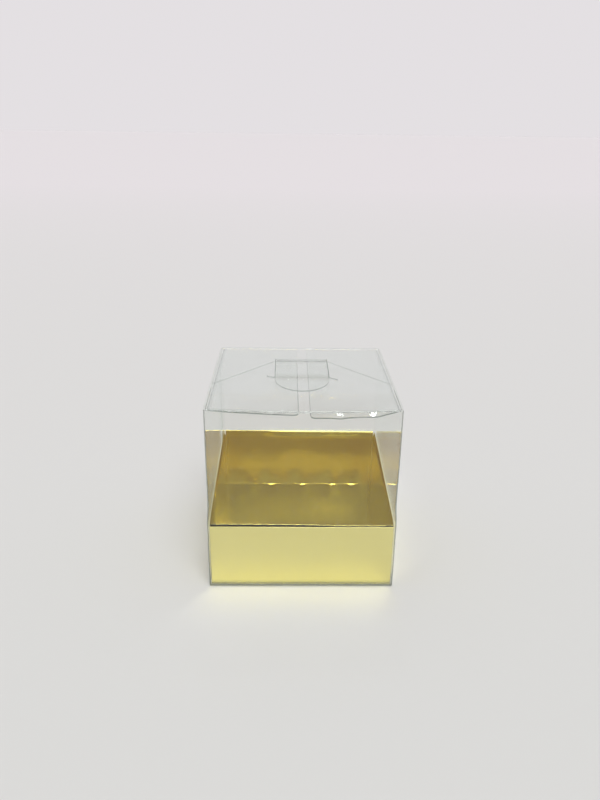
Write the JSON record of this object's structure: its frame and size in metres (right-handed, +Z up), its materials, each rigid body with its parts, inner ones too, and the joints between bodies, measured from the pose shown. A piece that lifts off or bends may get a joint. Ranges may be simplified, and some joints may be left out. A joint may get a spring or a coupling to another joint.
{
  "type": "favor box",
  "caption": "Small clear film cube box with a tongue-locked folding lid and a loose, shallow gold foil card tray standing inside it.",
  "frame": {"origin": "centre of the base, on the surface that the box stands on", "axes": "+Z up, -Y towards the front of the box, +X to its right as seen from the front"},
  "size_m": [0.05, 0.0516, 0.0525],
  "materials": {
    "clear_film": "clear glossy film, 0.3 mm",
    "lid_film": "clear glossy film, 0.3 mm",
    "gold_card": "mirror gold foil on card, 0.45 mm"
  },
  "bodies": {
    "box": {"front_wall": "clear_film", "back_wall": "clear_film", "left_wall": "clear_film", "right_wall": "clear_film", "glue_lip": "clear_film", "base_panel": "clear_film", "base_dust_flap_left": "clear_film", "base_dust_flap_right": "clear_film", "base_spring_flap": "clear_film"},
    "front_lid_flap": {"front_flap": "lid_film"},
    "back_lid_flap": {"back_flap": "lid_film", "lock_tongue": "lid_film"},
    "left_dust_flap": {"dust_flap_left": "lid_film"},
    "right_dust_flap": {"dust_flap_right": "lid_film"},
    "tray": {"tray_floor": "gold_card", "tray_front_wall": "gold_card", "tray_back_wall": "gold_card", "tray_left_wall": "gold_card", "tray_right_wall": "gold_card"}
  },
  "joints": [
    {"name": "front_flap_crease", "type": "hinge", "parent": "box", "child": "front_lid_flap", "pos_m": [0, -0.02575, 0.0522], "axis": [1, 0, 0], "range_deg": [0, 250]},
    {"name": "back_flap_crease", "type": "hinge", "parent": "box", "child": "back_lid_flap", "pos_m": [0, 0.02575, 0.0522], "axis": [-1, 0, 0], "range_deg": [0, 250], "deforming": ["lock_tongue"]},
    {"name": "left_dust_flap_crease", "type": "hinge", "parent": "box", "child": "left_dust_flap", "pos_m": [-0.0247, 0, 0.0515], "axis": [0, -1, 0], "range_deg": [-70, 0], "stiffness_Nm_per_rad": 0.0005, "springref_deg": 17.19},
    {"name": "right_dust_flap_crease", "type": "hinge", "parent": "box", "child": "right_dust_flap", "pos_m": [0.0247, 0, 0.0515], "axis": [0, 1, 0], "range_deg": [-70, 0], "stiffness_Nm_per_rad": 0.0005, "springref_deg": 17.19},
    {"name": "tray_lift", "type": "slide", "parent": "box", "child": "tray", "axis": [0, 0, 1], "range_m": [0, 0.025]}
  ]
}
